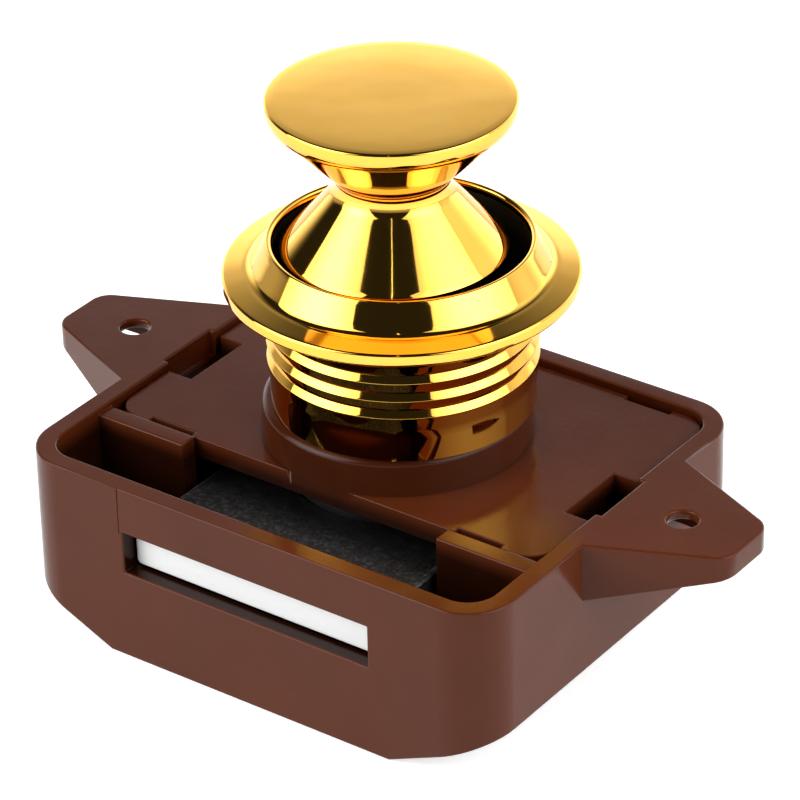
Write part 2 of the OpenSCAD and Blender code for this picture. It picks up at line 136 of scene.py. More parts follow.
class LockColourSettings(bpy.types.PropertyGroup):
    """Colours of the lock's finishes."""

    brown: bpy.props.FloatVectorProperty(
        name="Brown plastic", description="Main colour of the case and the cover",
        default=(0.092, 0.0205, 0.0062), size=3, min=0.0, max=1.0, subtype="COLOR")
    brown_light: bpy.props.FloatVectorProperty(
        name="Brown plastic, light", description="Lighter tone in the moulded plastic",
        default=(0.108, 0.0245, 0.0076), size=3, min=0.0, max=1.0, subtype="COLOR")
    gold: bpy.props.FloatVectorProperty(
        name="Gold plating", description="Main colour of the plating",
        default=(0.98, 0.555, 0.10), size=3, min=0.0, max=1.0, subtype="COLOR")
    gold_deep: bpy.props.FloatVectorProperty(
        name="Gold plating, deep", description="Redder tone where the plating is thick",
        default=(0.97, 0.525, 0.073), size=3, min=0.0, max=1.0, subtype="COLOR")
    zinc: bpy.props.FloatVectorProperty(
        name="Cast bolt", description="Main colour of the cast bolt",
        default=(0.026, 0.027, 0.030), size=3, min=0.0, max=1.0, subtype="COLOR")
    zinc_light: bpy.props.FloatVectorProperty(
        name="Cast bolt, specks", description="Colour of the bright specks in the casting",
        default=(0.115, 0.122, 0.135), size=3, min=0.0, max=1.0, subtype="COLOR")
    steel: bpy.props.FloatVectorProperty(
        name="Steel", description="Colour of pins, screw and springs",
        default=(0.55, 0.56, 0.58), size=3, min=0.0, max=1.0, subtype="COLOR")
    acetal: bpy.props.FloatVectorProperty(
        name="Plunger plastic", description="Colour of the plunger",
        default=(0.012, 0.012, 0.013), size=3, min=0.0, max=1.0, subtype="COLOR")


class LockStageSettings(bpy.types.PropertyGroup):
    """Camera and light of the photo stage."""

    azimuth: bpy.props.FloatProperty(
        name="Camera azimuth", description="Turn of the camera around the lock from the bolt side",
        default=math.radians(36.215), subtype="ANGLE", unit="ROTATION")
    elevation: bpy.props.FloatProperty(
        name="Camera elevation", description="Height angle of the camera",
        default=math.radians(30.62), subtype="ANGLE", unit="ROTATION")
    roll: bpy.props.FloatProperty(
        name="Camera roll", description="Turn of the camera about its view axis",
        default=math.radians(-1.231), subtype="ANGLE", unit="ROTATION")
    distance: bpy.props.FloatProperty(
        name="Camera distance", description="Distance from the camera to its target plane",
        default=406.19 * MM, min=0.1, unit="LENGTH")
    lens: bpy.props.FloatProperty(
        name="Lens", description="Focal length in millimetres for a 36 mm wide sensor",
        default=193.61, min=20.0, max=400.0)
    left_light: bpy.props.FloatProperty(
        name="Left softbox", description="Radiance of the left softbox",
        default=4.6, min=0.0, max=20.0)
    right_light: bpy.props.FloatProperty(
        name="Right softbox", description="Radiance of the right softbox",
        default=3.6, min=0.0, max=20.0)
    backdrop_light: bpy.props.FloatProperty(
        name="Backdrop", description="Brightness of the backdrop behind the lock",
        default=1.36, min=0.0, max=5.0)
    floor_light: bpy.props.FloatProperty(
        name="Floor glow", description="Light that comes through the floor paper from below",
        default=0.55, min=0.0, max=3.0)


# Shader helpers

def add_node(tree, kind, place, **values):
    """A shader node of a kind. Values set attributes, or sockets by title with _ for a space."""
    made = tree.nodes.new(kind)
    made.location = place
    for key, value in values.items():
        if hasattr(made, key):
            setattr(made, key, value)
        else:
            made.inputs[key.replace("_", " ")].default_value = value
    return made


def ramp(tree, value, start, stop, place, low=0.0, high=1.0, smooth=True):
    """A value socket taken from start and stop to low and high, and held beyond them."""
    made = add_node(
        tree, "ShaderNodeMapRange", place, From_Min=start, From_Max=stop, To_Min=low, To_Max=high,
        interpolation_type="SMOOTHSTEP" if smooth else "LINEAR")
    tree.links.new(value, made.inputs["Value"])
    return made.outputs["Result"]


def maths(tree, operation, first, second, place):
    """The result of a maths node for a value socket and a second socket or number."""
    made = add_node(tree, "ShaderNodeMath", place, operation=operation)
    tree.links.new(first, made.inputs[0])
    if isinstance(second, bpy.types.NodeSocket):
        tree.links.new(second, made.inputs[1])
    else:
        made.inputs[1].default_value = second
    return made.outputs["Value"]


def mix_tones(tree, first, second, factor, place):
    """A colour mix by a factor socket. Each tone is a colour or a colour socket."""
    mix = add_node(tree, "ShaderNodeMix", place, data_type="RGBA")
    # the colour sockets of the mix node are the third pair
    for socket, tone in ((mix.inputs[6], first), (mix.inputs[7], second)):
        if isinstance(tone, bpy.types.NodeSocket):
            tree.links.new(tone, socket)
        else:
            socket.default_value = (*tone, 1.0)
    tree.links.new(factor, mix.inputs[0])
    return mix.outputs[2]


def new_group(name, inputs, output):
    """An empty node group with float inputs {title: default} and one float output."""
    tree = bpy.data.node_groups.new(name, "ShaderNodeTree")
    for title, default in inputs.items():
        socket = tree.interface.new_socket(title, in_out="INPUT", socket_type="NodeSocketFloat")
        socket.default_value = default
    tree.interface.new_socket(output, in_out="OUTPUT", socket_type="NodeSocketFloat")
    return tree, tree.nodes.new("NodeGroupInput"), tree.nodes.new("NodeGroupOutput")


def mottle_group():
    """Soft cloudy change over the surface, as in moulded and plated skins."""
    found = bpy.data.node_groups.get("Lock mottle")
    if found:
        return found
    tree, entry, leave = new_group(
        "Lock mottle", {"Scale": 100.0, "Detail": 3.0, "Low": 0.0, "High": 1.0}, "Value")
    place = add_node(tree, "ShaderNodeTexCoord", (-600, 0))
    noise = add_node(tree, "ShaderNodeTexNoise", (-400, 0), Roughness=0.55)
    # most of the noise lies between these two values
    noise_low, noise_high = 0.3, 0.7
    spread = add_node(tree, "ShaderNodeMapRange", (-150, 0), From_Min=noise_low, From_Max=noise_high)
    link = tree.links.new
    link(place.outputs["Object"], noise.inputs["Vector"])
    link(entry.outputs["Scale"], noise.inputs["Scale"])
    link(entry.outputs["Detail"], noise.inputs["Detail"])
    link(noise.outputs["Fac"], spread.inputs["Value"])
    link(entry.outputs["Low"], spread.inputs["To Min"])
    link(entry.outputs["High"], spread.inputs["To Max"])
    link(spread.outputs["Result"], leave.inputs["Value"])
    return tree


def speckle_group():
    """Scattered small grains, as on the skin of a casting."""
    found = bpy.data.node_groups.get("Lock speckle")
    if found:
        return found
    tree, entry, leave = new_group(
        "Lock speckle", {"Scale": 800.0, "Threshold": 0.62, "Softness": 0.08}, "Mask")
    place = add_node(tree, "ShaderNodeTexCoord", (-600, 0))
    noise = add_node(tree, "ShaderNodeTexNoise", (-400, 0), Detail=2.0, Roughness=0.7)
    cut = add_node(tree, "ShaderNodeMapRange", (-150, 0))
    top = maths(tree, "ADD", entry.outputs["Threshold"], entry.outputs["Softness"], (-400, -250))
    link = tree.links.new
    link(place.outputs["Object"], noise.inputs["Vector"])
    link(entry.outputs["Scale"], noise.inputs["Scale"])
    link(noise.outputs["Fac"], cut.inputs["Value"])
    link(entry.outputs["Threshold"], cut.inputs["From Min"])
    link(top, cut.inputs["From Max"])
    link(cut.outputs["Result"], leave.inputs["Mask"])
    return tree


def use_group(tree, group, place, **values):
    """A placed node group with its inputs set."""
    made = tree.nodes.new("ShaderNodeGroup")
    made.node_tree = group
    made.location = place
    for key, value in values.items():
        made.inputs[key].default_value = value
    return made


def mottle(tree, place, **values):
    """The value of a placed mottle group with its inputs set."""
    return use_group(tree, mottle_group(), place, **values).outputs["Value"]


def blank_material(name):
    """A material with only a Principled shader, with its tree and the shader."""
    made = bpy.data.materials.new(name)
    made.use_nodes = True
    return made, made.node_tree, made.node_tree.nodes["Principled BSDF"]


def mottled_finish(name, first, second, cloud, gloss):
    """A material of two tones mixed in clouds with an uneven gloss, with its tree, shader and tone.

    The cloud is a scale and a detail, the gloss also has its lowest and highest roughness.
    """
    made, tree, shader = blank_material(name)
    clouds = mottle(tree, (-600, 300), Scale=cloud[0], Detail=cloud[1])
    polish = mottle(tree, (-600, 0), Scale=gloss[0], Detail=gloss[1], Low=gloss[2], High=gloss[3])
    tone = mix_tones(tree, first, second, clouds, (-350, 300))
    tree.links.new(tone, shader.inputs["Base Color"])
    tree.links.new(polish, shader.inputs["Roughness"])
    return made, tree, shader, tone


def add_bump(tree, shader, height, depth, place, strength=1.0):
    """A bump of a depth in metres from a height socket into the shader."""
    bump = add_node(tree, "ShaderNodeBump", place, Strength=strength, Distance=depth)
    tree.links.new(height, bump.inputs["Height"])
    tree.links.new(bump.outputs["Normal"], shader.inputs["Normal"])


def box_mask(tree, split, half_x, half_y, place):
    """One inside an upright box about the middle of the case, zero outside."""
    middle_y = (CASE_LOW.y + CASE_HIGH.y) / 2
    sides = []
    for k, (axis, middle, half) in enumerate((("X", 0.0, half_x), ("Y", middle_y, half_y))):
        x, y = place[0], place[1] - 150 * k
        off = maths(tree, "SUBTRACT", split.outputs[axis], middle, (x, y))
        size = maths(tree, "ABSOLUTE", off, 0.0, (x + 180, y))
        sides.append(maths(tree, "LESS_THAN", size, half, (x + 360, y)))
    return maths(tree, "MULTIPLY", sides[0], sides[1], (place[0] + 540, place[1]))


def brown_plastic(colours):
    """Glossy moulded plastic with faint flow clouds, and painted shade inside the tub and on the boss.
    """
    made, tree, shader, tone = mottled_finish(
        "brown_plastic", colours.brown, colours.brown_light, (90.0, 4.0), (260.0, 5.0, 0.11, 0.19))
    link = tree.links.new
    place = add_node(tree, "ShaderNodeTexCoord", (-1400, 600))
    split = add_node(tree, "ShaderNodeSeparateXYZ", (-1200, 600))
    link(place.outputs["Object"], split.inputs["Vector"])
    # painted shade inside: within the walls or the bolt slot, fading in below the rim
    fade_top, fade_end = 0.2 * MM, 2.5 * MM
    margin, slot_play, slot_skin = 0.03 * MM, 0.3 * MM, 0.22 * MM
    half_y = (CASE_HIGH.y - CASE_LOW.y) / 2
    tub = box_mask(tree, split, CASE_HALF - CASE_WALL + margin, half_y - CASE_WALL + margin,
                   (-1000, 900))
    slot_half = (BOLT_HIGH.x - BOLT_LOW.x) / 2 + slot_play
    slot = box_mask(tree, split, slot_half, half_y - slot_skin, (-1000, 600))
    either = maths(tree, "MAXIMUM", tub, slot, (-400, 700))
    depth = ramp(tree, split.outputs["Z"], CASE_HIGH.z - fade_top, CASE_HIGH.z - fade_end, (-600, 600))
    inside = maths(tree, "MULTIPLY", depth, either, (-200, 650))
    # painted shade on the wall of the boss, close to the sleeve
    boss_shade_outer, boss_shade_inner, boss_shade_share = SLEEVE + 0.9 * MM, SLEEVE + 0.2 * MM, 0.6
    flat = add_node(tree, "ShaderNodeVectorMath", (-1000, 1200), operation="MULTIPLY")
    flat.inputs[1].default_value = (1.0, 1.0, 0.0)
    link(place.outputs["Object"], flat.inputs[0])
    reach = add_node(tree, "ShaderNodeVectorMath", (-800, 1200), operation="LENGTH")
    link(flat.outputs["Vector"], reach.inputs[0])
    wall = ramp(tree, reach.outputs["Value"], boss_shade_outer, boss_shade_inner, (-600, 1200), high=boss_shade_share)
    shade = maths(tree, "MAXIMUM", inside, wall, (-150, 900))
    # painted shade: a darker share of the brown, mixed in by the shade mask
    painted_shade_share = 0.22
    deep = [c * painted_shade_share for c in colours.brown]
    link(mix_tones(tree, tone, deep, shade, (-100, 300)), shader.inputs["Base Color"])
    shader.inputs["Specular IOR Level"].default_value = 0.17
    skin = mottle(tree, (-600, -300), Scale=1500.0, Detail=2.0)
    add_bump(tree, shader, skin, 0.004 * MM, (-300, -300))
    return made


def gold_plating(colours):
    """Mirror gold over moulded plastic: faint waviness and a deeper tone in clouds."""
    made, tree, shader, _ = mottled_finish(
        "gold_plating", colours.gold, colours.gold_deep, (120.0, 3.0), (300.0, 4.0, 0.035, 0.075))
    shader.inputs["Metallic"].default_value = 1.0
    wave = mottle(tree, (-600, -300), Scale=190.0, Detail=1.0)
    add_bump(tree, shader, wave, 0.010 * MM, (-300, -300), strength=0.6)
    return made


def cast_zinc(colours):
    """Dark die casting with bright grains, painted shadow below the cover, and a front face painted
    white as a reflection.
    """
    made, tree, shader = blank_material("cast_zinc")
    link = tree.links.new
    place = add_node(tree, "ShaderNodeTexCoord", (-1200, 0))
    split = add_node(tree, "ShaderNodeSeparateXYZ", (-1000, 0))
    link(place.outputs["Object"], split.inputs["Vector"])
    along = split.outputs["Y"]
    grain = use_group(tree, speckle_group(), (-800, 300), Scale=2300.0, Threshold=0.45, Softness=0.3)
    tone = mix_tones(tree, colours.zinc, colours.zinc_light, grain.outputs["Mask"], (-350, 300))
    # painted shadow: the part that runs below the cover is darker
    cover_shadow_start, cover_shadow_full, cover_shadow_share = PLATE_FRONT - 5.0 * MM, PLATE_FRONT + 1.0 * MM, 0.2
    under = ramp(tree, along, cover_shadow_start, cover_shadow_full, (-800, 600))
    cover_shadow_tone = mix_tones(tree, tone, [c * cover_shadow_share for c in colours.zinc], under, (-250, 500))
    # painted reflection: the front face, everything ahead of a plane just behind the nose, is painted
    # near white for the bright surroundings it reflects
    white_face_start, white_face_full = BOLT_LOW.y + 0.12 * MM, BOLT_LOW.y + 0.04 * MM
    painted_reflection_white = (0.97, 0.97, 0.97)
    nose = ramp(tree, along, white_face_start, white_face_full, (-800, 0), smooth=False)
    link(mix_tones(tree, cover_shadow_tone, painted_reflection_white, nose, (-150, 300)), shader.inputs["Base Color"])
    gloss = mottle(tree, (-600, 0), Scale=900.0, Detail=3.0, Low=0.42, High=0.62)
    link(gloss, shader.inputs["Roughness"])
    cast_sheen, white_face_sheen = 0.35, 0.0
    sheen = ramp(tree, nose, 0.0, 1.0, (-300, 0), cast_sheen, white_face_sheen, smooth=False)
    link(sheen, shader.inputs["Metallic"])
    skin = mottle(tree, (-800, -300), Scale=1300.0, Detail=4.0)
    add_bump(tree, shader, skin, 0.05 * MM, (-300, -300), strength=0.7)
    return made


def drawn_steel(colours):
    """Bright drawn steel with uneven polish."""
    darker = [c * 0.8 for c in colours.steel]
    made, _, shader, _ = mottled_finish(
        "drawn_steel", colours.steel, darker, (600.0, 3.0), (900.0, 3.0, 0.18, 0.34))
    shader.inputs["Metallic"].default_value = 1.0
    return made


def black_acetal(colours):
    """Satin black plastic of the plunger and of the rosette's dark bore."""
    lighter = [c * 1.8 for c in colours.acetal]
    made, *_ = mottled_finish(
        "black_acetal", colours.acetal, lighter, (250.0, 4.0), (700.0, 3.0, 0.34, 0.5))
    return made


def finish_material(name, builder):
    """The named finish, made on first use."""
    found = bpy.data.materials.get(name)
    return found or builder(bpy.context.scene.lock_colours)


def dress(obj, material):
    """Gives an object one finish."""
    obj.data.materials.clear()
    obj.data.materials.append(material)


# Mesh helpers

def add_mesh(name, bm, sharp_angle):
    """A linked object from a bmesh, smooth up to an angle."""
    mesh = bpy.data.meshes.new(name)
    bm.to_mesh(mesh)
    bm.free()
    mesh.shade_smooth()
    mesh.set_sharp_from_angle(angle=sharp_angle)
    obj = bpy.data.objects.new(name, mesh)
    bpy.context.scene.collection.objects.link(obj)
    return obj


def face_outwards(bm):
    """Turns all faces of a closed body to the outside."""
    bmesh.ops.recalc_face_normals(bm, faces=bm.faces)
    if bm.calc_volume(signed=True) < 0:
        bmesh.ops.reverse_faces(bm, faces=bm.faces)


def eased_copy(node, name, width, keep_sharp=None, trim=None):
    """A copy of a CAD node with its flat faces joined and its edges eased.

    A trim changes the mesh first. Edges that keep_sharp picks are not eased.
    """
    merge, sliver = 0.002 * MM, 0.12 * width
    flat_angle, sharp_angle, smooth_angle = (math.radians(a) for a in (0.4, 28.0, 40.0))
    bm = bmesh.new()
    bm.from_mesh(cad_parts[node].data)
    bmesh.ops.remove_doubles(bm, verts=bm.verts, dist=merge)
    bmesh.ops.dissolve_limit(
        bm, angle_limit=flat_angle, use_dissolve_boundaries=False,
        verts=bm.verts, edges=bm.edges, delimit=set())
    if trim:
        trim(bm)
    chosen = [
        e for e in bm.edges
        if len(e.link_faces) == 2 and e.calc_face_angle(0.0) > sharp_angle
        and not (keep_sharp and keep_sharp(e))]
    bmesh.ops.bevel(
        bm, geom=chosen, offset=width, offset_type="OFFSET", segments=2, profile=0.55,
        affect="EDGES", clamp_overlap=False, loop_slide=True, harden_normals=False)
    bmesh.ops.remove_doubles(bm, verts=bm.verts, dist=sliver)
    face_outwards(bm)
    piece = add_mesh(name, bm, smooth_angle)
    # large flat faces keep their own normals, only the eased edges turn
    flat = piece.modifiers.new("Flat faces", "WEIGHTED_NORMAL")
    flat.mode = "FACE_AREA"
    flat.weight = 90
    flat.keep_sharp = True
    return piece


def arc_points(cx, cz, radius, start, stop, steps):
    """Points of a circular arc in radius and height, angles in degrees."""
    made = []
    for i in range(steps + 1):
        a = math.radians(start + (stop - start) * i / steps)
        made.append((cx + radius * math.cos(a), cz + radius * math.sin(a)))
    return made


def turned(name, profile, steps, closed, axis_x=0.0):
    """A solid of revolution about an upright axis from points of radius and height in metres."""
    on_axis = 1e-7
    turn = 2 * math.pi / steps
    bm = bmesh.new()
    rings = []
    for r, z in profile:
        if r < on_axis:
            rings.append([bm.verts.new((axis_x, 0.0, z))])
            continue
        rings.append([
            bm.verts.new((axis_x + r * math.cos(turn * k), r * math.sin(turn * k), z))
            for k in range(steps)])
    pairs = list(zip(rings, rings[1:]))
    if closed:
        pairs.append((rings[-1], rings[0]))
    for low, high in pairs:
        for k in range(steps):
            n = (k + 1) % steps
            corners = [low[k % len(low)], low[n % len(low)], high[n % len(high)], high[k % len(high)]]
            unique = list(dict.fromkeys(corners))
            if len(unique) > 2:
                bm.faces.new(unique)
    face_outwards(bm)
    return add_mesh(name, bm, math.radians(30.0))


def straight(points, end, steps):
    """Adds evenly spaced points on the line from the last point up to an end."""
    (r0, z0), (r1, z1) = points[-1], end
    points += [(r0 + (r1 - r0) * i / steps, z0 + (z1 - z0) * i / steps) for i in range(1, steps + 1)]


def knob_profile(head_dome):
    """Outline of the knob: hollow skirt, straight cone, tight waist, flared head, flat top."""
    base, top = KNOB_LOW.z, KNOB_HIGH.z - head_dome
    head = KNOB_HIGH.x
    skirt = head - 0.95 * MM
    waist = 5.4 * MM
    waist_z = base + 7.0 * MM
    flare = 45.4
    lean, rise = math.sin(math.radians(flare)), math.cos(math.radians(flare))
    neck, shoulder, rim, foot = 1.3 * MM, 2.0 * MM, 0.25 * MM, 0.12 * MM
    hollow = 2.0 * MM
    seat_z, seat, skirt_wall = base + 2.6 * MM, 6.5 * MM, 1.3 * MM
    points = [(0.0, seat_z), (seat, seat_z), (skirt - skirt_wall, base)]
    points += arc_points(skirt - foot, base + foot, foot, -90, 40, 6)
    # the cone runs tangent into the hollow below the waist
    foot_r, foot_z = points[-1]
    to_r, to_z = waist + hollow - foot_r, waist_z - foot_z
    cone = math.degrees(math.atan2(to_z, to_r) + math.asin(hollow / math.hypot(to_r, to_z))) - 90
    low = arc_points(waist + hollow, waist_z, hollow, 180 + cone, 180, 14)
    straight(points, low[0], 14)
    points += low[1:]
    points += arc_points(waist + neck, waist_z, neck, 180, 90 + flare, 10)[1:]
    flare_r, flare_z = points[-1]
    shoulder_r = head - shoulder * (1 - lean)
    shoulder_z = flare_z + (shoulder_r - flare_r) * lean / rise
    straight(points, (shoulder_r, shoulder_z), 12)
    bulge_z = shoulder_z + shoulder * rise
    points += arc_points(head - shoulder, bulge_z, shoulder, flare - 90, 0, 12)[1:]
    points += arc_points(head - rim, top - rim, rim, 0, 86, 8)
    # the dome is steepest at the rim and flat in the middle
    edge_r, edge_z = points[-1]
    dome = KNOB_HIGH.z - edge_z
    dome_steps, dome_power = 16, 4
    for i in range(1, dome_steps):
        t = i / dome_steps
        points.append((edge_r * (1 - t), edge_z + dome * (1 - (1 - t) ** dome_power)))
    points.append((0.0, KNOB_HIGH.z))
    return points


def rosette_profile(brim_fall):
    """Outline of the rosette: sleeve with three barbs, falling brim, steep collar with a thin lip."""
    foot, lip_z = ROSETTE_LOW.z, ROSETTE_HIGH.z
    flange = (ROSETTE_HIGH.x - ROSETTE_LOW.x) / 2
    under = lip_z - 4.4 * MM
    brim_z = under + 1.6 * MM
    sleeve, bore = SLEEVE, SLEEVE - WALL
    barb, root = sleeve + 0.25 * MM, sleeve - 0.15 * MM
    rim, lip, fillet, mouth = 0.3 * MM, 0.2 * MM, 0.9 * MM, 0.35 * MM
    slope = 60.0
    lean, rise = math.sin(math.radians(slope)), math.cos(math.radians(slope))
    chamfer_in, chamfer_out, plain = 0.1 * MM, 0.15 * MM, 0.25 * MM
    barbs_start, barbs_end = under - 9.3 * MM, under - 2.2 * MM
    points = [(bore, foot + chamfer_in), (bore + chamfer_in, foot), (sleeve - chamfer_out, foot)]
    points += [(sleeve, foot + chamfer_out), (sleeve, foot + plain)]
    straight(points, (sleeve, barbs_start), 4)
    # each barb: long face that leans out, rounded crest, upper shoulder that leans back
    edge, shoulder = 0.07 * MM, 0.66 * MM
    root_out, root_up = 0.012 * MM, 0.03 * MM
    face = 18
    face_cos, face_sin = math.cos(math.radians(face)), math.sin(math.radians(face))
    back = math.degrees(math.atan2(barb - root, shoulder))
    crests = (7.7 * MM, 5.9 * MM, 4.05 * MM)
    for crest in crests:
        tip = under - crest
        straight(points, (barb - edge * (1 - face_cos), tip - edge * face_sin), 6)
        points += arc_points(barb - edge, tip, edge, -face, back, 6)[1:]
        straight(points, (root, tip + shoulder), 6)
        points.append((root + root_out, tip + shoulder + root_up))
    neck, neck_foot = 0.15 * MM, 0.3 * MM
    straight(points, (sleeve + neck, barbs_end), 4)
    points += [(sleeve + neck, under - neck), (sleeve + neck_foot, under)]
    points += arc_points(flange - rim, under + rim, rim, -90, 0, 6)
    edge_z = brim_z - brim_fall
    collar_foot = 1.4 * MM
    tilt = math.degrees(math.atan2(brim_fall, flange - sleeve - collar_foot))
    points += arc_points(flange - rim, edge_z - rim, rim, 0, 90 - tilt, 8)
    # brim, hollow foot of the collar, straight flank and thin lip
    flank_r = bore + mouth + lip * lean
    flank_z = lip_z - lip * (1 - rise)
    low_z = brim_z + fillet * (1 - rise)
    foot_r = flank_r + (flank_z - low_z) * rise / lean + fillet * lean
    straight(points, (foot_r, brim_z), 6)
    points += arc_points(foot_r, brim_z + fillet, fillet, 270, 270 - slope, 12)[1:]
    straight(points, (flank_r, flank_z), 6)
    points += arc_points(bore + mouth, lip_z - lip, lip, 90 - slope, 90, 6)[1:]
    points += arc_points(bore + mouth, lip_z - mouth, mouth, 90, 180, 10)[1:]
    straight(points, (bore, lip_z - GOLD_LIP), 2)
    straight(points, (bore, foot + chamfer_in), 12)
    return points[:-1]


# Operators

class LOCK_OT_housing(bpy.types.Operator):
    """Ease the edges of the moulded case and cover and give them the brown plastic"""

    bl_idname = "lock.housing"
    bl_label = "Case and cover"

    def execute(self, context):
        shape = context.scene.lock_shape
        plastic = finish_material("brown_plastic", brown_plastic)
        line_x, line_near, line_depth = -14.44 * MM, 0.3 * MM, 0.4 * MM
        ear_root = CASE_HALF - 0.6 * MM
        boss_foot = (12.5 * MM, 14.4 * MM)
        boss_side, eased_from, level = 4.0 * MM, 0.7 * MM, 0.02 * MM

        def sharp_on_case(edge):
            """The parting line in the front face and the corners where the ears meet the walls."""
            mid = (edge.verts[0].co + edge.verts[1].co) / 2
            on_line = abs(mid.x - line_x) < line_near and mid.y < CASE_LOW.y + line_depth
            return on_line or (not edge.is_convex and abs(mid.x) > ear_root)

        def on_front_edge(edge):
            """The upper edge of the plate's front."""
            return all(abs(v.co.y - PLATE_FRONT) < level and abs(v.co.z - PLATE_TOP) < level
                       for v in edge.verts)

        def sharp_on_cover(edge):
            """The ring where the boss meets the plate, and the plate's front edge close to it."""
            mid = (edge.verts[0].co + edge.verts[1].co) / 2
            on_ring = not edge.is_convex and boss_foot[0] < math.hypot(mid.x, mid.y) < boss_foot[1]
            return on_ring or (on_front_edge(edge) and abs(mid.x) < boss_side)

        def trim_front(bm):
            """Levels the foot of the boss with the plate's front edge and splits the edge near it."""
            for vert in bm.verts:
                if vert.co.y < PLATE_FRONT and vert.co.z < PLATE_TOP - level:
                    vert.co.y = PLATE_FRONT
            for edge in [e for e in bm.edges if on_front_edge(e)]:
                near = min(edge.verts, key=lambda v: abs(v.co.x))
                if abs(near.co.x) < boss_side:
                    bmesh.utils.edge_split(edge, near, eased_from / edge.calc_length())

        for node, name, width, skip, trim in (
                ("case", "case_shell", shape.edge_round, sharp_on_case, None),
                ("cover_plate", "cover_shell", shape.cover_edge, sharp_on_cover, trim_front)):
            piece = eased_copy(node, name, width, skip, trim)
            dress(piece, plastic)
            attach(piece, "housing")
            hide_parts(node)
        return {"FINISHED"}


class LOCK_OT_knob(bpy.types.Operator):
    """Turn the plated knob"""

    bl_idname = "lock.knob"
    bl_label = "Knob"

    def execute(self, context):
        shape = context.scene.lock_shape
        piece = turned("knob_turned", knob_profile(shape.head_dome), shape.turned_steps, False)
        dress(piece, finish_material("gold_plating", gold_plating))
        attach(piece, "push_knob")
        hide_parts("knob")
        return {"FINISHED"}


class LOCK_OT_rosette(bpy.types.Operator):
    """Turn the plated rosette with its barbed sleeve"""

    bl_idname = "lock.rosette"
    bl_label = "Rosette"

    def execute(self, context):
        shape = context.scene.lock_shape
        axis_x = (ROSETTE_LOW.x + ROSETTE_HIGH.x) / 2
        profile = rosette_profile(shape.brim_fall)
        piece = turned("rosette_turned", profile, shape.turned_steps, True, axis_x)
        dress(piece, finish_material("gold_plating", gold_plating))
        # the bore below the lip is dark
        piece.data.materials.append(finish_material("black_acetal", black_acetal))
        dark_bore_radius, dark_bore_top = SLEEVE - WALL + 0.02 * MM, ROSETTE_HIGH.z - GOLD_LIP
        for face in piece.data.polygons:
            radius = math.hypot(face.center.x - axis_x, face.center.y)
            if radius < dark_bore_radius and face.center.z < dark_bore_top:
                face.material_index = 1
        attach(piece, "door_rosette")
        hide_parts("rosette")
        return {"FINISHED"}


class LOCK_OT_bolt(bpy.types.Operator):
    """Ease the edges of the cast bolt and give it its grainy skin, a painted shadow below the cover
    and a front painted white as a reflection
    """

    bl_idname = "lock.bolt"
    bl_label = "Bolt"

    def execute(self, context):
        fork_start = -6.5 * MM

        def on_fork(edge):
            """The slotted arms behind the block stay sharp."""
            return (edge.verts[0].co.y + edge.verts[1].co.y) / 2 > fork_start

        piece = eased_copy("bolt", "bolt_cast", context.scene.lock_shape.cast_edge, on_fork)
        dress(piece, finish_material("cast_zinc", cast_zinc))
        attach(piece, "dead_bolt")
        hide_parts("bolt")
        return {"FINISHED"}


class LOCK_OT_mechanism(bpy.types.Operator):
    """Give the plunger, pins, screw, follower and leaf their finishes"""

    bl_idname = "lock.mechanism"
    bl_label = "Plunger and latch parts"

    def execute(self, context):
        dress(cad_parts["plunger"], finish_material("black_acetal", black_acetal))
        steel = finish_material("drawn_steel", drawn_steel)
        for node in ("knob_screw", "drive_pin_left", "drive_pin_right", "heart_follower",
                     "follower_pin", "follower_spring"):
            dress(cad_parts[node], steel)
        return {"FINISHED"}


class LOCK_OT_spring(bpy.types.Operator):
    """Wind the main spring as a round wire"""

    bl_idname = "lock.spring"
    bl_label = "Main spring"

    def execute(self, context):
        shape = context.scene.lock_shape
        wire, turns = shape.wire_radius, shape.spring_turns
        coil = SPRING_HIGH.x - wire
        low, high = SPRING_LOW.z + wire, SPRING_HIGH.z - wire
        close_ends, nudge = 0.42, 0.1
        per_turn, sides = 24, 10
        count = int(turns * per_turn)

        def centre(i):
            """Middle of the wire at a step, with the turns closer together at both ends."""
            u = i / count
            a = 2 * math.pi * turns * u
            rise = u - close_ends * math.sin(2 * math.pi * u) / (2 * math.pi)
            return Vector((coil * math.cos(a), coil * math.sin(a), low + (high - low) * rise))

        bm = bmesh.new()
        rings = []
        for i in range(count + 1):
            here = centre(i)
            along = (centre(i + nudge) - centre(i - nudge)).normalized()
            side = along.cross(Vector((here.x, here.y, 0.0)).normalized()).normalized()
            out = side.cross(along)
            rings.append([
                bm.verts.new(here + wire * (math.cos(2 * math.pi * k / sides) * out
                                            + math.sin(2 * math.pi * k / sides) * side))
                for k in range(sides)])
        for a, b in zip(rings, rings[1:]):
            for k in range(sides):
                n = (k + 1) % sides
                bm.faces.new((a[k], a[n], b[n], b[k]))
        bm.faces.new(rings[0])
        bm.faces.new(rings[-1])
        bmesh.ops.recalc_face_normals(bm, faces=bm.faces)
        piece = add_mesh("main_spring_wound", bm, math.radians(50.0))
        dress(piece, finish_material("drawn_steel", drawn_steel))
        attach(piece, "housing")
        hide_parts("main_spring")
        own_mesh(piece)
        return {"FINISHED"}


def heading(azimuth, elevation):
    """Unit vector from the lock towards a viewer at that azimuth and elevation."""
    return Vector((math.sin(azimuth) * math.cos(elevation),
                   -math.cos(azimuth) * math.cos(elevation), math.sin(elevation)))


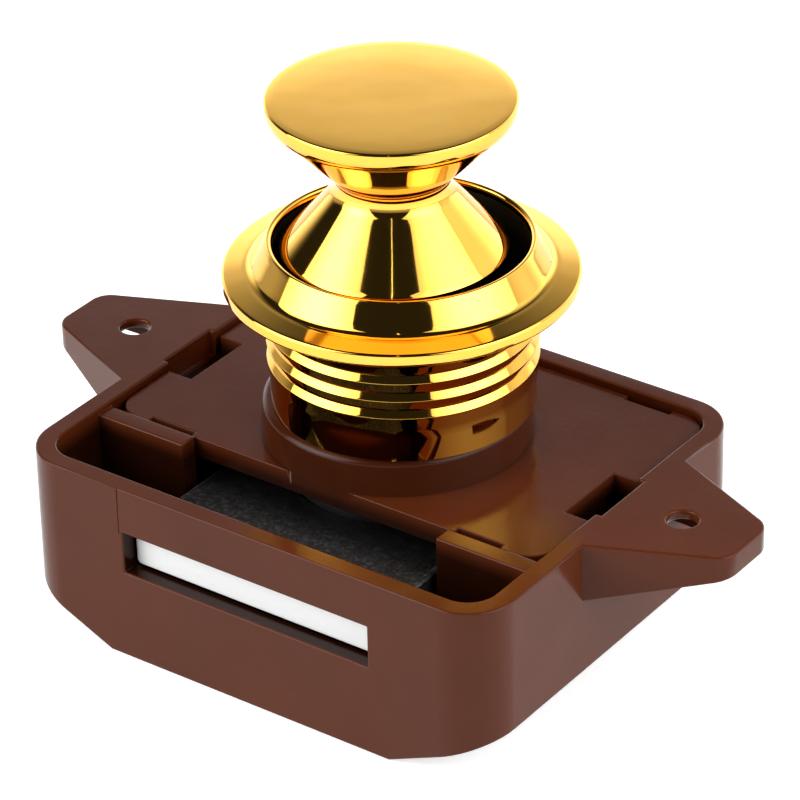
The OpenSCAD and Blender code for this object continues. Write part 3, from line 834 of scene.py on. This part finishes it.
def add_softbox(name, azimuth, elevation, width, height, radiance):
    """A rectangular light that looks at the lock and is brightest in its middle."""
    light = bpy.data.lights.new(name, "AREA")
    light.shape = "RECTANGLE"
    light.size, light.size_y = width, height
    light.energy = radiance * math.pi * width * height
    light.use_nodes = True
    tree = light.node_tree
    place = add_node(tree, "ShaderNodeTexCoord", (-900, 0))
    centre = add_node(tree, "ShaderNodeVectorMath", (-700, 0), operation="SUBTRACT")
    centre.inputs[1].default_value = (0.5, 0.5, 0.0)
    away = add_node(tree, "ShaderNodeVectorMath", (-500, 0), operation="LENGTH")
    tree.links.new(place.outputs["UV"], centre.inputs[0])
    tree.links.new(centre.outputs["Vector"], away.inputs[0])
    inner, outer = 0.05, 0.62
    middle_share, rim_share = 1.35, 0.35
    fall = ramp(tree, away.outputs["Value"], inner, outer, (-300, 0), middle_share, rim_share)
    tree.links.new(fall, tree.nodes["Emission"].inputs["Strength"])
    obj = bpy.data.objects.new(name, light)
    obj.location = heading(azimuth, elevation) * SOFTBOX_DISTANCE
    obj.rotation_euler = (-obj.location).to_track_quat("-Z", "Y").to_euler()
    bpy.context.scene.collection.objects.link(obj)


def set_world(stage):
    """A dim room with a bright backdrop that fades upwards behind the lock."""
    world = bpy.data.worlds.new("Light tent")
    bpy.context.scene.world = world
    world.use_nodes = True
    tree = world.node_tree
    link = tree.links.new
    place = add_node(tree, "ShaderNodeTexCoord", (-1000, 0))
    split = add_node(tree, "ShaderNodeSeparateXYZ", (-800, 200))
    link(place.outputs["Generated"], split.inputs["Vector"])

    def by_height(start, stop, spot, low=0.0, high=1.0):
        """A smooth change between two height angles in degrees."""
        start, stop = math.sin(math.radians(start)), math.sin(math.radians(stop))
        return ramp(tree, split.outputs["Z"], start, stop, spot, low, high)

    side = add_node(tree, "ShaderNodeVectorMath", (-800, -100), operation="DOT_PRODUCT")
    side.inputs[1].default_value = heading(stage.azimuth + math.radians(BACKDROP_TURN), 0.0)
    link(place.outputs["Generated"], side.inputs[0])
    outer, inner = (math.cos(math.radians(a)) for a in BACKDROP_SPAN)
    span = ramp(tree, side.outputs["Value"], outer, inner, (-600, -100))
    lift = maths(tree, "MULTIPLY", by_height(*BACKDROP_FADE, (-600, 200)), span, (-350, 100))
    for k, (start, stop, gain) in enumerate(BACKDROP_STEPS):
        bright = by_height(start, stop, (-600, 450 + 250 * k), 1.0, gain)
        lift = maths(tree, "MULTIPLY", lift, bright, (-320, 250 + 250 * k))
    table = by_height(*TABLE_EDGE, (-600, -400), high=TABLE_SHARE)
    most = maths(tree, "MAXIMUM", lift, table, (-280, 0))
    level = add_node(tree, "ShaderNodeMapRange", (-180, 100), clamp=False,
                     To_Min=ROOM_LIGHT, To_Max=stage.backdrop_light)
    link(most, level.inputs["Value"])
    back = tree.nodes["Background"]
    link(level.outputs["Result"], back.inputs["Strength"])
    back.inputs["Color"].default_value = (1.0, 1.0, 1.0, 1.0)


def add_floor(stage):
    """A wide pale paper sheet under the lock."""
    half, gap = 2.0, 0.05 * MM
    z = CASE_LOW.z - gap
    bm = bmesh.new()
    corners = ((-half, -half), (half, -half), (half, half), (-half, half))
    bm.faces.new([bm.verts.new((x, y, z)) for x, y in corners])
    floor = add_mesh("floor_paper", bm, math.radians(30.0))
    made, tree, shader = blank_material("pale_paper")
    paper, paper_light = (0.93, 0.93, 0.93), (0.96, 0.96, 0.96)
    tone = mix_tones(tree, paper, paper_light, mottle(tree, (-600, 300), Scale=3.0), (-350, 300))
    tree.links.new(tone, shader.inputs["Base Color"])
    shader.inputs["Roughness"].default_value = 0.9
    shader.inputs["Emission Color"].default_value = (1.0, 1.0, 1.0, 1.0)
    shader.inputs["Emission Strength"].default_value = stage.floor_light
    dress(floor, made)
    # keeps the glow off the moulded walls, which the room lights from below instead
    floor.visible_diffuse = False


def add_camera(stage):
    """The camera that took the photo, found from the lock's own edges."""
    back = heading(stage.azimuth, stage.elevation)
    right = Vector((math.cos(stage.azimuth), math.sin(stage.azimuth), 0.0))
    up = back.cross(right)
    c, s = math.cos(stage.roll), math.sin(stage.roll)
    x_axis = c * right + s * up
    y_axis = -s * right + c * up
    target_y, shift_x, shift_y = -2.872 * MM, 1.855 * MM, 3.017 * MM
    aim = Vector((0.0, target_y, 0.0)) + shift_x * x_axis + shift_y * y_axis
    data = bpy.data.cameras.new("Photo camera")
    data.sensor_fit = "HORIZONTAL"
    data.sensor_width = 36.0
    data.lens = stage.lens
    data.clip_start, data.clip_end = 0.01, 20.0
    camera = bpy.data.objects.new("Photo camera", data)
    spot = aim + back * stage.distance
    camera.matrix_world = Matrix((
        (x_axis.x, y_axis.x, back.x, spot.x),
        (x_axis.y, y_axis.y, back.y, spot.y),
        (x_axis.z, y_axis.z, back.z, spot.z),
        (0.0, 0.0, 0.0, 1.0)))
    bpy.context.scene.collection.objects.link(camera)
    bpy.context.scene.camera = camera


class LOCK_OT_stage(bpy.types.Operator):
    """Set the pale floor, the softboxes, the backdrop and the photo camera"""

    bl_idname = "lock.stage"
    bl_label = "Photo stage"

    def execute(self, context):
        stage = context.scene.lock_stage
        add_floor(stage)
        for name, turn, height, wide, tall, light, share in SOFTBOXES:
            add_softbox(name, stage.azimuth + math.radians(turn), math.radians(height), wide, tall,
                        getattr(stage, light) * share)
        set_world(stage)
        add_camera(stage)
        context.scene.view_settings.view_transform = "Standard"
        return {"FINISHED"}


class LOCK_PT_panel(bpy.types.Panel):
    """Lists the lock's settings and pieces"""

    bl_idname = "LOCK_PT_panel"
    bl_label = "Push button lock"
    bl_space_type = "VIEW_3D"
    bl_region_type = "UI"
    bl_category = "Lock"

    def draw(self, context):
        scene = context.scene
        for settings in (scene.lock_shape, scene.lock_colours, scene.lock_stage):
            for key in settings.__annotations__:
                self.layout.prop(settings, key)
        for made in OPERATORS:
            self.layout.operator(made.bl_idname)


SETTINGS = {
    "lock_shape": LockShapeSettings,
    "lock_colours": LockColourSettings,
    "lock_stage": LockStageSettings,
}
OPERATORS = (LOCK_OT_housing, LOCK_OT_knob, LOCK_OT_rosette, LOCK_OT_bolt, LOCK_OT_mechanism,
             LOCK_OT_spring, LOCK_OT_stage)


def register():
    """Makes the settings, the operators and the panel known."""
    for group in SETTINGS.values():
        bpy.utils.register_class(group)
    for key, group in SETTINGS.items():
        setattr(bpy.types.Scene, key, bpy.props.PointerProperty(type=group))
    for made in (*OPERATORS, LOCK_PT_panel):
        bpy.utils.register_class(made)


def unregister():
    """Takes the panel, the operators and the settings away again."""
    for made in reversed((*OPERATORS, LOCK_PT_panel)):
        bpy.utils.unregister_class(made)
    for key in SETTINGS:
        delattr(bpy.types.Scene, key)
    for group in reversed(SETTINGS.values()):
        bpy.utils.unregister_class(group)


def main():
    """Builds the whole lock on its stage."""
    register()
    bpy.ops.lock.housing()
    bpy.ops.lock.knob()
    bpy.ops.lock.rosette()
    bpy.ops.lock.bolt()
    bpy.ops.lock.mechanism()
    bpy.ops.lock.spring()
    bpy.ops.lock.stage()


if __name__ == "__main__":
    main()
